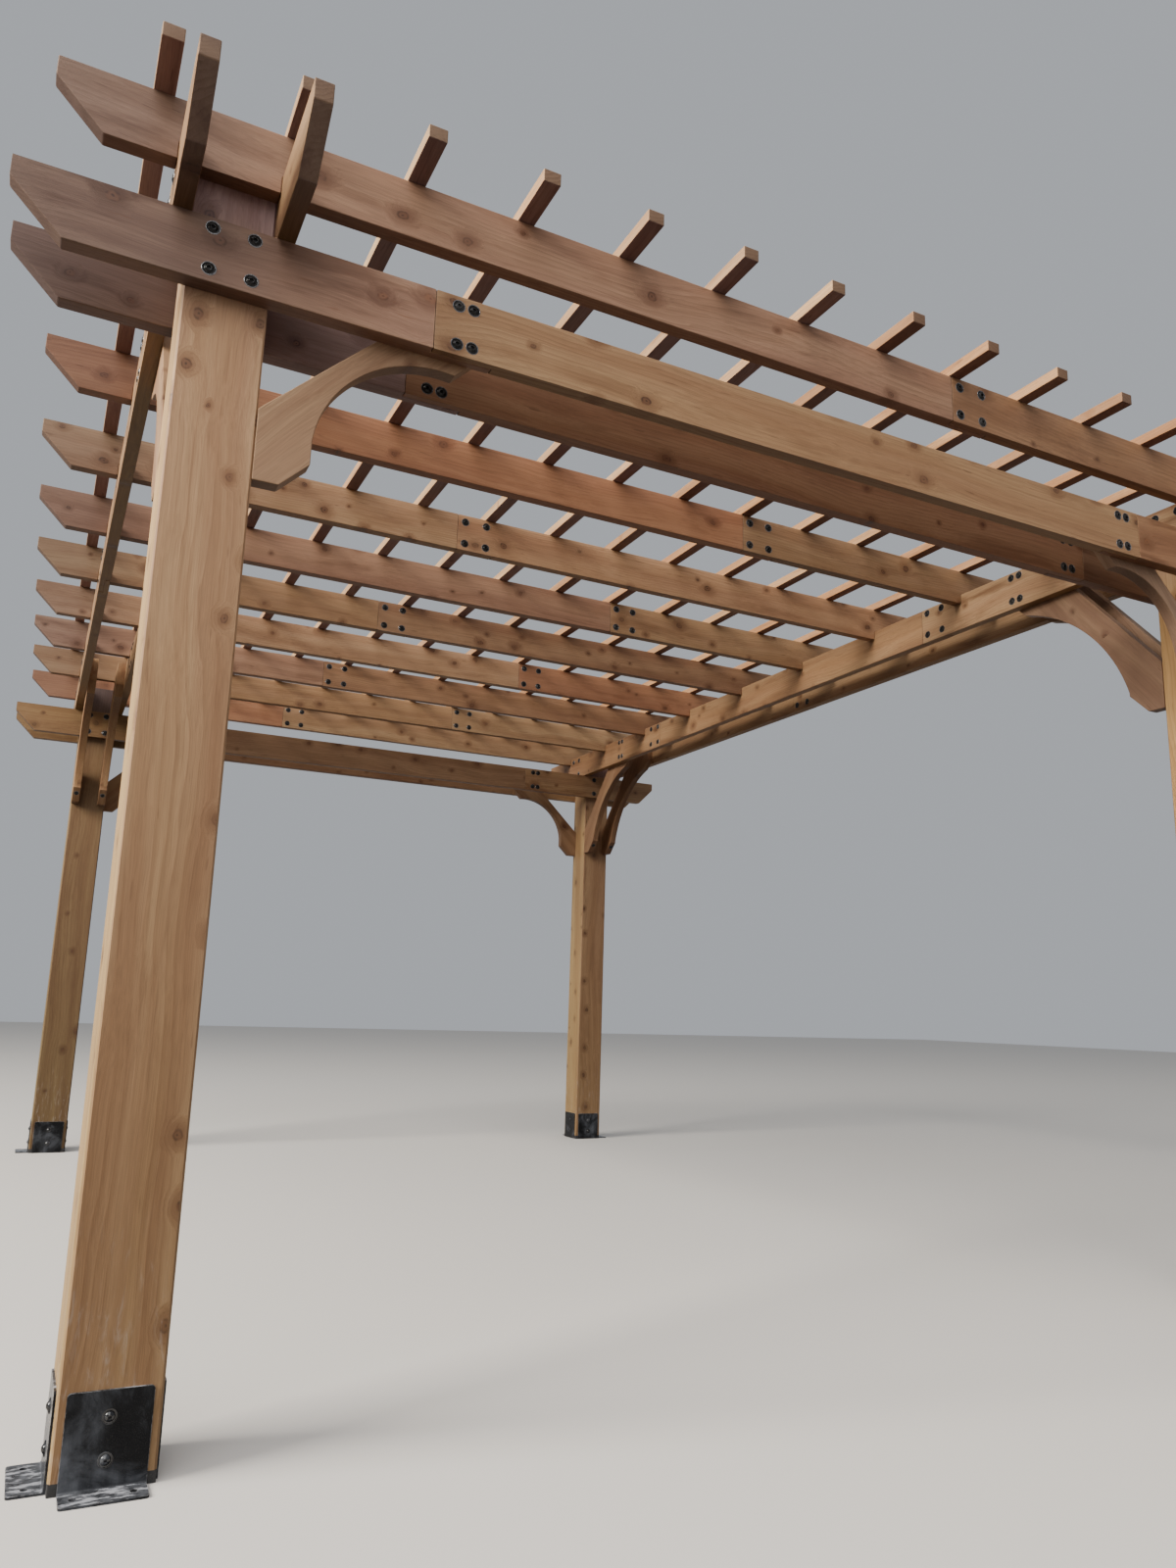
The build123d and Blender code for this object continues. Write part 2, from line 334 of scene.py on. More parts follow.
class SharedEffects:
    """The node groups that several finishes use, each made once."""

    def __init__(self) -> None:
        """Make every group."""
        self.board_shift = self._board_shift()
        self.knots = self._knots()
        self.figure = self._figure()
        self.edge_wear = self._edge_wear()
        self.grime = self._grime()

    def _board_shift(self) -> Tree:
        """Give each board of a node its own piece of the grain and its own tone.

        Returns:
            A group from a position and a board size to a shifted position and three random values.
        """
        inputs = {"Position": None, "Cell": None, "Phase": None, "Seed": 0.0}
        w = GroupWiring("board_shift", inputs, ("Position", "Tone", "Warmth", "Knottiness"))
        place = w.given["Position"]
        cell = w.vector("ADD", w.vector("DIVIDE", place, w.given["Cell"]), w.given["Phase"])
        cell = w.vector("FLOOR", cell)
        draw = w.add("TexWhiteNoise", {"noise_dimensions": "4D"}, Vector=cell, W=w.given["Seed"]).outputs
        shift = w.vector("MULTIPLY", w.centred(draw["Color"]), (9.0, 1.0, 1.0))
        moved = w.vector("ADD", place, w.scaled(shift, 0.6))
        parts = w.split(draw["Color"])
        return w.give(Position=moved, Tone=draw["Value"], Warmth=parts["Z"], Knottiness=parts["X"])

    def _knots(self) -> Tree:
        """Scatter round knots over a board's face, each with a dark rim round a red-brown core.

        Returns:
            A group from a position to the knot's core, its halo and its dark rim and pith.
        """
        inputs = {"Position": None, "Spacing": 0.1, "Share": 0.5, "Radius": 0.01}
        w = GroupWiring("knots", inputs, ("Core", "Halo", "Rim"))
        place, spacing = w.given["Position"], w.given["Spacing"]
        rough = w.scaled(w.centred(w.noise(place, 38.0)["Color"]), 0.012)
        flat = w.vector("MULTIPLY", w.vector("ADD", place, rough), (0.8, 1.0, 0.0))
        density = w.math("DIVIDE", 1.0, spacing)
        cells = w.add("TexVoronoi", {"voronoi_dimensions": "2D"}, Vector=flat, Scale=density).outputs
        lottery = w.add("SeparateColor", Color=cells["Color"]).outputs
        drawn = w.math("LESS_THAN", lottery[0], w.given["Share"])
        size = w.times(w.math("MULTIPLY_ADD", lottery[1], 0.9, 0.35), w.given["Radius"])
        size = w.math("ADD", w.times(size, drawn), 1e-5)
        distance = w.math("DIVIDE", w.times(cells["Distance"], spacing), size)
        strength = w.times(w.math("MULTIPLY_ADD", lottery[2], 0.45, 0.55), drawn)
        ring = {name: w.remap(distance, *limits) for name, limits in KNOT_RINGS.items()}
        broken = w.remap(w.noise(place, 70.0, 1.0)["Fac"], 0.38, 0.58)
        rim = w.times(w.times(ring["rim_inside"], ring["rim_outside"]), broken)
        rim = w.times(w.math("MAXIMUM", rim, ring["pith"]), drawn)
        return w.give(Core=w.times(ring["core"], strength), Halo=w.times(ring["halo"], drawn), Rim=rim)

    def _figure(self) -> Tree:
        """Draw year rings cut lengthwise, tone bands, thin dark streaks, blotches and fine fibres.

        Returns:
            A group from a grain position to rings, bands, streaks, blotches, sapwood, fibres and flecks.
        """
        inputs = {"Position": None, "Halo": 0.0, "Ring Gap": 0.008}
        w = GroupWiring("cedar_figure", inputs, ("Rings", *FIGURES))
        place = w.given["Position"]
        slow = w.scaled(w.centred(w.stretched(place, SLOW_BEND, 2.0)["Color"]), BEND_REACH)
        quick = w.scaled(w.centred(w.stretched(place, QUICK_BEND, 3.0)["Color"]), QUICK_REACH)
        swirl = w.times(w.given["Halo"], KNOT_SWIRL)
        bent = w.vector("ADD", w.vector("ADD", place, slow), quick)
        bent = w.vector("ADD", bent, w.join(0.0, swirl, swirl))
        radius = w.vector("LENGTH", w.vector("MULTIPLY", bent, (0.0, 1.0, 1.0)))
        count = w.math("DIVIDE", radius, w.given["Ring Gap"])
        phase = w.math("FRACT", w.math("ADD", count, w.times(RIPPLE.draw(w, place), 2.0)))
        late = w.times(w.math("POWER", phase, 2.2), w.remap(phase, 0.90, 1.0, 1.0, 0.0))
        drawn = {name: pattern.draw(w, bent) for name, pattern in FIGURES.items()}
        return w.give(Rings=w.times(late, FADING.draw(w, place)), **drawn)

    def _edge_wear(self) -> Tree:
        """Find the rubbed edges of a piece.

        Returns:
            A group from a width and a position to a broken mask along the edges.
        """
        w = GroupWiring("edge_wear", {"Position": None, "Width": 0.004, "Breakup": 60.0}, ("Mask",))
        rounded = w.add("Bevel", {"samples": 4}, Radius=w.given["Width"]).outputs["Normal"]
        flat = w.add("NewGeometry").outputs["True Normal"]
        turn = w.math("SUBTRACT", 1.0, w.vector("DOT_PRODUCT", rounded, flat))
        speck = w.noise(w.given["Position"], w.given["Breakup"], 3.0)["Fac"]
        return w.give(Mask=w.times(w.remap(turn, 0.02, 0.22), w.remap(speck, 0.35, 0.65)))

    def _grime(self) -> Tree:
        """Lay soft smudges and fine dust over a surface.

        Returns:
            A group from a position to smudge and dust masks.
        """
        w = GroupWiring("grime", {"Position": None, "Smudge Size": 0.05}, ("Smudges", "Dust"))
        place = w.given["Position"]
        density = w.math("DIVIDE", 1.0, w.given["Smudge Size"])
        cloud = w.add("TexNoise", Vector=place, Scale=density, Detail=5.0, Roughness=0.62, Distortion=0.6)
        dust = w.noise(place, 900.0)["Fac"]
        return w.give(Smudges=w.remap(cloud.outputs["Fac"], 0.42, 0.72), Dust=w.remap(dust, 0.55, 0.75))


# Finishes

WARM_TINT = (1.06, 0.97, 0.90)
SAP_TINT = (1.10, 1.09, 1.02)
HEART_TINT = (0.94, 0.88, 0.84)
LATE_TINT = (0.60, 0.48, 0.42)
FLECK = (0.10, 0.044, 0.024)
KNOT_WOOD = (0.130, 0.058, 0.031)
KNOT_RIM = (0.040, 0.019, 0.012)
CUT_EARLY = (0.120, 0.072, 0.048)
CUT_LATE = (0.070, 0.040, 0.026)
RUBBED_WOOD = (0.60, 0.42, 0.27)
LOW_TINT = (0.67, 0.68, 0.62)
SPLASH = (0.50, 0.44, 0.38)
PALE_DUST = (0.30, 0.28, 0.25)
# Tint of the faces that look down: painted shade.
SHADED = (0.86, 0.84, 0.86)
UNTINTED = (1.0, 1.0, 1.0)

STEEL_STREAKS = Pattern((60.0, 60.0, 9.0), 3.0)
# Pale patches on faces that look up: partly scuffs, partly painted highlights.
SCUFFS_AND_GLINTS = Pattern((24.0, 75.0, 30.0), 5.0, 0.68, (0.50, 0.59))


@dataclass(frozen=True)
class Zone:
    """A stretch of some boards with a tint eased in between limits along axes: mostly painted light and
    shade, in places another tone of the timber.
    """

    tint: Colour
    limits: tuple[tuple[str, float, float], ...]


@dataclass(frozen=True)
class CedarFinish:
    """Oiled cedar with its grain, knots, end grain and rubbed edges, and painted light and shade on its
    tails, its undersides and stretches of its boards.
    """

    grain: Grain
    shade: Shade
    # Stretches of painted light and shade, some with another tone of the timber.
    light_and_tone_zones: tuple[Zone, ...] = ()
    seed: float = 0.0
    cell: Point = (WHOLE, WHOLE, WHOLE)
    phase: Point = MIDDLE
    ring_gap: float = 0.0085
    ring_depth: float = 0.42
    blotch_depth: float = 0.40
    streak_depth: float = 0.34
    knot_spacing: float = 0.125
    knot_share: float = 0.74
    knot_radius: float = 0.0088
    knot_depth: float = 0.92
    halo_depth: float = 0.62
    fleck_depth: float = 0.45
    edge_wear: float = 0.24
    # Painted shade: tint of the faces that look down.
    underside: Colour = SHADED
    # Painted shade: the timber is tinted darker from the start of its tails outwards, and its downward faces
    # there take a tint of their own.
    tail_start: float = NO_TAIL
    tail_fade: float = 0.35
    tail_shade: Colour = (0.60, 0.65, 0.76)
    tail_underside_shade: Colour | None = None
    foot_dust: float = 0.0

    def material(self, name: str, effects: SharedEffects) -> Material:
        """Make the material.

        Args:
            name: Name of the material.
            effects: The shared node groups.

        Returns:
            The finished material.
        """
        w = MaterialWiring(name)
        place = self._grain_space(w)
        board = w.group(effects.board_shift, Position=place, Cell=self.cell, Phase=self.phase, Seed=self.seed)
        place = board["Position"]
        share = w.math("MULTIPLY_ADD", board["Knottiness"], self.knot_share * 0.6, self.knot_share * 0.7)
        scatter = {"Spacing": self.knot_spacing, "Share": share, "Radius": self.knot_radius}
        knots = w.group(effects.knots, Position=place, **scatter)
        figure = w.group(effects.figure, Position=place, Halo=knots["Halo"], Ring_Gap=self.ring_gap)
        worn = w.group(effects.edge_wear, Position=w.place)["Mask"]
        colour = self._painted_light_tone_and_splash(w, effects, self._colour(w, board, knots, figure, worn))
        height = w.math("MULTIPLY_ADD", figure["Rings"], 0.35, w.times(figure["Fibre"], 0.55))
        height = w.math("ADD", height, w.times(knots["Core"], 0.4))
        rough = w.math("MULTIPLY_ADD", figure["Fibre"], 0.22, 0.45)
        rough = w.math("SUBTRACT", rough, w.times(knots["Core"], 0.12))
        return w.close(height, 0.35, 0.0012, Base_Color=colour, Roughness=rough, Specular_IOR_Level=0.22)

    def _grain_space(self, w: MaterialWiring) -> Socket:
        """Turn object coordinates into length, height and depth of the timber.

        Args:
            w: The wiring of the material.

        Returns:
            The position in grain space, in metres.
        """
        place = w.laid(self.grain)
        if self.grain is not Grain.POST:
            return place
        beside = w.math("GREATER_THAN", w.math("ABSOLUTE", w.facing["X"]), 0.7)
        return w.choose(beside, place, w.laid(Grain.POST_SIDE))

    def _end_grain(self, w: MaterialWiring) -> Socket:
        """Return a mask of the faces that cut across the fibres."""
        return w.remap(w.math("ABSOLUTE", w.facing[self.grain.along]), 0.45, 0.98)

    def _colour(
        self, w: MaterialWiring, board: Sockets, knots: Sockets, figure: Sockets, worn: Socket
    ) -> Socket:
        """Mix the timber's colours.

        Args:
            w: The wiring of the material.
            board: Outputs of the board_shift group.
            knots: Outputs of the knots group.
            figure: Outputs of the cedar_figure group.
            worn: The edge wear mask.

        Returns:
            The colour of the timber, the same all along it.
        """
        light, dark = self.shade.value
        late = w.tinted(dark, LATE_TINT)
        tone = w.math("MULTIPLY_ADD", figure["Bands"], 0.70, w.times(board["Tone"], 0.30))
        colour = w.shaded(board["Warmth"], w.mix(tone, light, dark), WARM_TINT)
        colour = w.mix(figure["Sapwood"], w.tinted(colour, HEART_TINT), w.tinted(colour, SAP_TINT))
        depths = {"Blotches": self.blotch_depth, "Rings": self.ring_depth, "Streaks": self.streak_depth}
        for label, depth in depths.items():
            colour = w.mix(w.times(figure[label], depth), colour, late)
        fibre = w.remap(figure["Fibre"], 0.25, 0.75, 0.84, 1.10)
        colour = w.tinted(colour, w.add("CombineColor", Red=fibre, Green=fibre, Blue=fibre).outputs[0])
        colour = w.mix(w.times(figure["Flecks"], self.fleck_depth), colour, FLECK)
        colour = w.mix(w.times(knots["Halo"], self.halo_depth), colour, late)
        core = w.mix(knots["Rim"], w.mix(0.55, late, KNOT_WOOD), KNOT_RIM)
        colour = w.mix(w.times(knots["Core"], self.knot_depth), colour, core)
        cut = w.mix(figure["Rings"], CUT_EARLY, CUT_LATE)
        colour = w.mix(w.times(self._end_grain(w), 0.85), colour, cut)
        return w.mix(w.times(worn, self.edge_wear), colour, RUBBED_WOOD)

    def _painted_light_tone_and_splash(self, w: MaterialWiring, effects: SharedEffects, colour: Socket) -> Socket:
        """Paint shade at the tails and underneath, paint light and shade and in places another tone on
        stretches of the boards, darken a post towards its foot, and splash it there.

        Args:
            w: The wiring of the material.
            effects: The shared node groups.
            colour: The colour so far.

        Returns:
            The changed colour.
        """
        # Painted shade, darker towards each tail of the timber.
        reach = w.math("ABSOLUTE", w.axes[self.grain.along])
        tail = w.remap(reach, self.tail_start, self.tail_start + self.tail_fade)
        colour = w.shaded(tail, colour, self.tail_shade)
        # Painted light and shade on stretches of the boards, in places another tone of the timber.
        for zone in self.light_and_tone_zones:
            share, *others = [w.remap(w.axes[axis], start, finish) for axis, start, finish in zone.limits]
            for other in others:
                share = w.times(share, other)
            colour = w.shaded(share, colour, zone.tint)
        # Painted shade on the faces that look down, with a tint of its own at the tails.
        shadow = w.mix(tail, self.underside, self.tail_underside_shade or self.underside)
        colour = w.shaded(w.remap(w.facing["Z"], -0.4, -0.9), colour, shadow)
        if not self.foot_dust:
            return colour
        height = w.axes["Z"]
        # A post grows darker towards its foot.
        colour = w.shaded(w.remap(height, 2.0, 0.1), colour, LOW_TINT)
        place = w.vector("MULTIPLY", w.place, (1.0, 1.0, 0.22))
        smudges = w.group(effects.grime, Position=place, Smudge_Size=0.012)["Smudges"]
        splash = w.times(w.math("POWER", smudges, 3.0), w.remap(height, 0.45, 0.14))
        return w.mix(w.times(splash, self.foot_dust), colour, SPLASH)


@dataclass(frozen=True)
class BraceFinish(CedarFinish):
    """Cedar for a corner's braces: short ones along X, long ones along Y, fibres leaning with each."""

    inner_face: float = 1.3385
    short_lean: float = 0.0
    long_lean: float = 0.0

    def _grain_space(self, w: MaterialWiring) -> Socket:
        """Return the grain position of the short or the long braces, by the side of the post's face.

        Args:
            w: The wiring of the material.

        Returns:
            The position in grain space, in metres.
        """
        short = w.leaning(Grain.FRONT_BOARD, self.short_lean)
        long = w.leaning(Grain.SIDE_BOARD, self.long_lean)
        beside_post = w.math("GREATER_THAN", w.math("ABSOLUTE", w.axes["X"]), self.inner_face)
        return w.choose(beside_post, short, long)

    def _end_grain(self, w: MaterialWiring) -> Socket:
        """Return a faint mask of the cuts that look down, across the leaning fibres."""
        return w.times(w.remap(w.times(w.facing["Z"], -1.0), 0.80, 0.95), 0.5)


@dataclass(frozen=True)
class SteelFinish:
    """Black coated steel, smudged, dusty where it faces up with pale scuffs and painted highlights there, and
    rubbed at its edges.
    """

    coat: Colour = (0.0040, 0.0044, 0.0056)
    dusted: Colour = (0.086, 0.091, 0.102)
    rubbed: Colour = (0.46, 0.46, 0.47)
    # Colour of the scuffs and painted highlights.
    scuff_and_glint: Colour = (0.42, 0.43, 0.47)
    smudge_size: float = 0.11
    gloss: float = 0.20
    shine: float = 0.10
    lying_dust: float = 0.62
    metallic: float = 0.0

    def material(self, name: str, effects: SharedEffects) -> Material:
        """Make the material.

        Args:
            name: Name of the material.
            effects: The shared node groups.

        Returns:
            The finished material.
        """
        w = MaterialWiring(name)
        grime = w.group(effects.grime, Position=w.place, Smudge_Size=self.smudge_size)
        worn = w.group(effects.edge_wear, Position=w.place, Width=0.0015, Breakup=180.0)["Mask"]
        up = w.remap(w.facing["Z"], 0.6, 0.95)
        streaks = STEEL_STREAKS.draw(w, w.place)
        lying = w.times(w.times(up, self.lying_dust), w.remap(streaks, 0.36, 0.60, 0.25, 1.15))
        film = w.math("MAXIMUM", w.times(grime["Smudges"], w.remap(streaks, 0.35, 0.65, 0.55, 1.05)), lying)
        colour = w.mix(film, self.coat, self.dusted)
        # Pale scuffs and painted highlights on the faces that look up.
        colour = w.mix(w.times(SCUFFS_AND_GLINTS.draw(w, w.place), w.times(up, self.lying_dust)), colour, self.scuff_and_glint)
        colour = w.mix(w.times(grime["Dust"], 0.10), colour, PALE_DUST)
        colour = w.mix(w.times(worn, 0.85), colour, self.rubbed)
        rough = w.math("MULTIPLY_ADD", film, 0.25, self.gloss)
        metal = w.math("MULTIPLY_ADD", worn, 0.3, self.metallic)
        peel = w.noise(w.place, 420.0)["Fac"]
        shading = {"Base_Color": colour, "Roughness": rough, "Metallic": metal}
        return w.close(peel, 0.18, 0.0003, **shading, Specular_IOR_Level=self.shine)


@dataclass(frozen=True)
class PadFinish:
    """Dark moulded pad with a matt, dusty skin."""

    base: Colour = (0.014, 0.014, 0.015)
    dust: Colour = (0.16, 0.14, 0.12)

    def material(self, name: str, effects: SharedEffects) -> Material:
        """Make the material.

        Args:
            name: Name of the material.
            effects: The shared node groups.

        Returns:
            The finished material.
        """
        w = MaterialWiring(name)
        grime = w.group(effects.grime, Position=w.place, Smudge_Size=0.03)
        colour = w.mix(w.times(grime["Dust"], 0.35), self.base, self.dust)
        rough = w.math("MULTIPLY_ADD", grime["Smudges"], 0.2, 0.62)
        pebble = w.noise(w.place, 300.0, 3.0)["Fac"]
        return w.close(pebble, 0.4, 0.0006, Base_Color=colour, Roughness=rough)


# Carried-over solids and fasteners

HEAD_SMUDGES = 0.03
MERGE_REACH = 0.00002
EDGE_STEPS = 2
EDGE_ANGLE = math.radians(28)
SMOOTH_ANGLE = math.radians(38)
DOME_LEANS = (0.30, 0.62, 0.92)


def dress_node(name: str, material: Material, edge: float = 0.0) -> None:
    """Give a CAD node its material and eased edges.

    Args:
        name: Name of the CAD node.
        material: Its new material.
        edge: Radius of the eased edges in metres, or 0 for none.
    """
    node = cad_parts[name]
    for item in node.material_slots:
        item.material = material
    if edge:
        weld = node.modifiers.new("merge_corners", "WELD")
        weld.merge_threshold = MERGE_REACH
        ease = node.modifiers.new("eased_edges", "BEVEL")
        ease.width = edge
        ease.segments = EDGE_STEPS
        ease.limit_method = "ANGLE"
        ease.angle_limit = EDGE_ANGLE
        even = node.modifiers.new("even_shading", "WEIGHTED_NORMAL")
        even.mode = "FACE_AREA"
        even.weight = 100
        even.keep_sharp = False
    log.info("node %s: %s", name, material.name)


def finished_mesh(name: str, mesh: bmesh.types.BMesh) -> bpy.types.Mesh:
    """Keep what was modelled, and free the rest.

    Args:
        name: Name of the kept mesh.
        mesh: The modelled mesh.

    Returns:
        The kept mesh.
    """
    made = bpy.data.meshes.new(name)
    mesh.to_mesh(made)
    mesh.free()
    return made


def add_piece(name: str, mesh: bmesh.types.BMesh, finishes: tuple[Material, ...]) -> bpy.types.Object:
    """Put a modelled mesh into the scene.

    Args:
        name: Name of the piece.
        mesh: The modelled mesh.
        finishes: Its materials.

    Returns:
        The piece.
    """
    piece = bpy.data.objects.new(name, finished_mesh(name, mesh))
    for finish in finishes:
        piece.data.materials.append(finish)
    bpy.context.scene.collection.objects.link(piece)
    return piece


@dataclass(frozen=True)
class Fastener:
    """A domed head with a driver socket in a cupped washer, let into the surface."""

    head: float = 0.0086
    rise: float = 0.0030
    washer: float = 0.0136
    rim: float = 0.0018
    proud: float = 0.0006
    depth: float = 0.0020
    socket: float = 0.0038
    steps: int = 24

    def profile(self) -> list[Point]:
        """Draw half of the section through the axis.

        Returns:
            The outline from the middle of the underside, round the rim, to the middle of the top.
        """
        cup = self.washer - self.rim
        floor = self.depth * 0.1
        flat = [
            (0.0, -self.depth),
            (self.washer, -self.depth),
            (self.washer, self.proud * 0.5),
            (self.washer - self.rim * 0.2, self.proud),
            (self.washer - self.rim * 0.85, self.proud),
            (cup, floor * 1.4),
            (cup - 0.0006, floor),
            (self.head, floor),
            *((self.head * math.cos(lean), self.rise * math.sin(lean)) for lean in DOME_LEANS),
            (self.socket * 1.25, self.rise),
            (self.socket * 1.04, self.rise * 0.96),
            (self.socket, self.rise * 0.60),
            (self.socket * 0.9, floor),
            (0.0, floor),
        ]
        return [(radius, 0.0, height) for radius, height in flat]

    def shape(self) -> bpy.types.Mesh:
        """Build one fastener with its axis along Z and the timber's face at z = 0.

        Returns:
            The mesh, its rim faces on the second material.
        """
        mesh = bmesh.new()
        points = [mesh.verts.new(point) for point in self.profile()]
        edges = [mesh.edges.new(pair) for pair in zip(points, points[1:])]
        turn = {"cent": (0, 0, 0), "axis": (0, 0, 1), "angle": math.tau, "steps": self.steps}
        bmesh.ops.spin(mesh, geom=points + edges, **turn, use_merge=True)
        bmesh.ops.remove_doubles(mesh, verts=mesh.verts, dist=1e-6)
        bmesh.ops.recalc_face_normals(mesh, faces=mesh.faces)
        for face in mesh.faces:
            reach = face.calc_center_median().to_2d().length
            face.material_index = int(reach > self.washer - self.rim)
        return finished_mesh("fastener", mesh)


BOLT = Fastener()
LAG_SCREW = Fastener(head=0.0088, rise=0.0016, washer=0.0112, rim=0.0014, proud=0.0004)
PLATE_SCREW = Fastener(
    head=0.0080, rise=0.0054, washer=0.0114, rim=0.0012, proud=0.0016, depth=0.0002, socket=0.0024
)
SLAT_SCREW = Fastener(
    head=0.0036, rise=0.0002, washer=0.0046, rim=0.0006, proud=0.0003, depth=0.0012, socket=0.0015, steps=12
)


@dataclass(frozen=True)
class Seat:
    """Where one fastener sits and the way that its head looks."""

    place: Point | Vector
    outward: Point | Vector

    def matrix(self) -> Matrix:
        """Return the matrix that puts a fastener on its seat."""
        turn = Vector(self.outward).to_track_quat("Z", "Y").to_matrix().to_4x4()
        return Matrix.Translation(self.place) @ turn


@dataclass(frozen=True)
class FastenerSet:
    """Copies of one fastener on all the seats of a sub-assembly, made one piece."""

    name: str
    pattern: Fastener
    finishes: HeadFinishes
    seats: list[Seat]

    def build(self) -> None:
        """Make the piece and let it ride on the frame."""
        single = self.pattern.shape()
        mesh = bmesh.new()
        for seat in self.seats:
            copy = single.copy()
            copy.transform(seat.matrix())
            mesh.from_mesh(copy)
            bpy.data.meshes.remove(copy)
        for edge in mesh.edges:
            edge.smooth = edge.calc_face_angle(math.pi) < SMOOTH_ANGLE
        for face in mesh.faces:
            face.smooth = True
        piece = add_piece(self.name, mesh, self.finishes)
        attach(piece, "root")
        log.info("piece %s: %d fasteners", self.name, len(self.seats))


# Sub-assemblies


@dataclass
class SubAssembly:
    """What every sub-assembly is dressed and fastened with, its common sizes, and the four corners."""

    effects: SharedEffects
    bolt_heads: HeadFinishes
    screw_heads: HeadFinishes
    half_x: float = 1.415
    half_y: float = 2.022
    post: float = 0.152
    board: float = 0.034

    def corners(self) -> Iterator[tuple[str, int, int]]:
        """Yield each corner's name and its signs along X and Y."""
        for (end, sy), (side, sx) in product((("front", -1), ("rear", 1)), (("left", -1), ("right", 1))):
            yield f"{end}_{side}", sx, sy

    def dress(self) -> None:
        """Give the CAD nodes their finishes."""
        raise NotImplementedError

    def fasten(self) -> None:
        """Add the fasteners, where the sub-assembly has any."""


@dataclass
class Posts(SubAssembly):
    """Four square posts, each with painted light on its left face and painted shade on its top."""

    # The dark UMBER of the rear left post is partly its tone and partly painted shade.
    shades: tuple[Shade, ...] = (Shade.TAN, Shade.HONEY, Shade.UMBER, Shade.SAND)
    # Painted light: the left face of each post is tinted paler.
    painted_left_light: Colour = (1.28, 1.38, 1.20)

    def dress(self) -> None:
        """Give each post its own timber."""
        for index, (corner, sx, _) in enumerate(self.corners()):
            left_face = sx * self.half_x - self.post / 2
            finish = CedarFinish(
                Grain.POST,
                self.shades[index],
                light_and_tone_zones=(Zone(self.painted_left_light, (("X", left_face + 0.0028, left_face + 0.0006),)),),
                seed=3.0 + index,
                ring_gap=0.0105,
                ring_depth=0.44,
                blotch_depth=0.26,
                knot_spacing=0.13,
                knot_share=0.66,
                knot_radius=0.0082,
                fleck_depth=0.30,
                # Painted shade: the top of each post, from 1.88 m up, is tinted darker and cooler.
                tail_start=1.88,
                tail_shade=(0.50, 0.55, 1.00),
                foot_dust=0.32,
            )
            dress_node(f"post_{corner}", finish.material(f"post_cedar_{corner}", self.effects))


LEFT_HALF, RIGHT_HALF = ("X", 0.1, -0.1), ("X", -0.1, 0.1)
OUTER_FACE, INNER_FACE = ("Y", -2.05, -2.06), ("Y", -2.06, -2.05)
# Painted light and shade on the beams, with another tone of the timber in two places.
BEAM_LIGHT_AND_TONE_ZONES = {
    # Inner centre board: partly another tone, partly painted shade.
    "front_centre": (Zone((0.90, 0.80, 0.86), (INNER_FACE,)),),
    "front_end": (
        # Outer left end board: painted light, lifting the shadow that the side beams' tails cast on it.
        Zone((2.45, 2.30, 2.00), (("X", -1.5, -1.1), OUTER_FACE)),
        # Inner left end board: painted shade.
        Zone((0.84, 0.88, 0.98), (LEFT_HALF, INNER_FACE)),
        # Inner left end board right of the post: painted light.
        Zone((2.60, 2.70, 2.90), (("X", -1.48, -1.33), LEFT_HALF, INNER_FACE)),
        # Right end boards: another tone of the timber.
        Zone((0.80, 0.74, 0.62), (RIGHT_HALF,)),
        # Inner right end board: painted light.
        Zone((1.60, 1.50, 1.45), (RIGHT_HALF, INNER_FACE)),
    ),
    # Left end of the rear boards: painted shade.
    "rear_end": (Zone((0.61, 0.64, 0.59), (LEFT_HALF,)),),
}


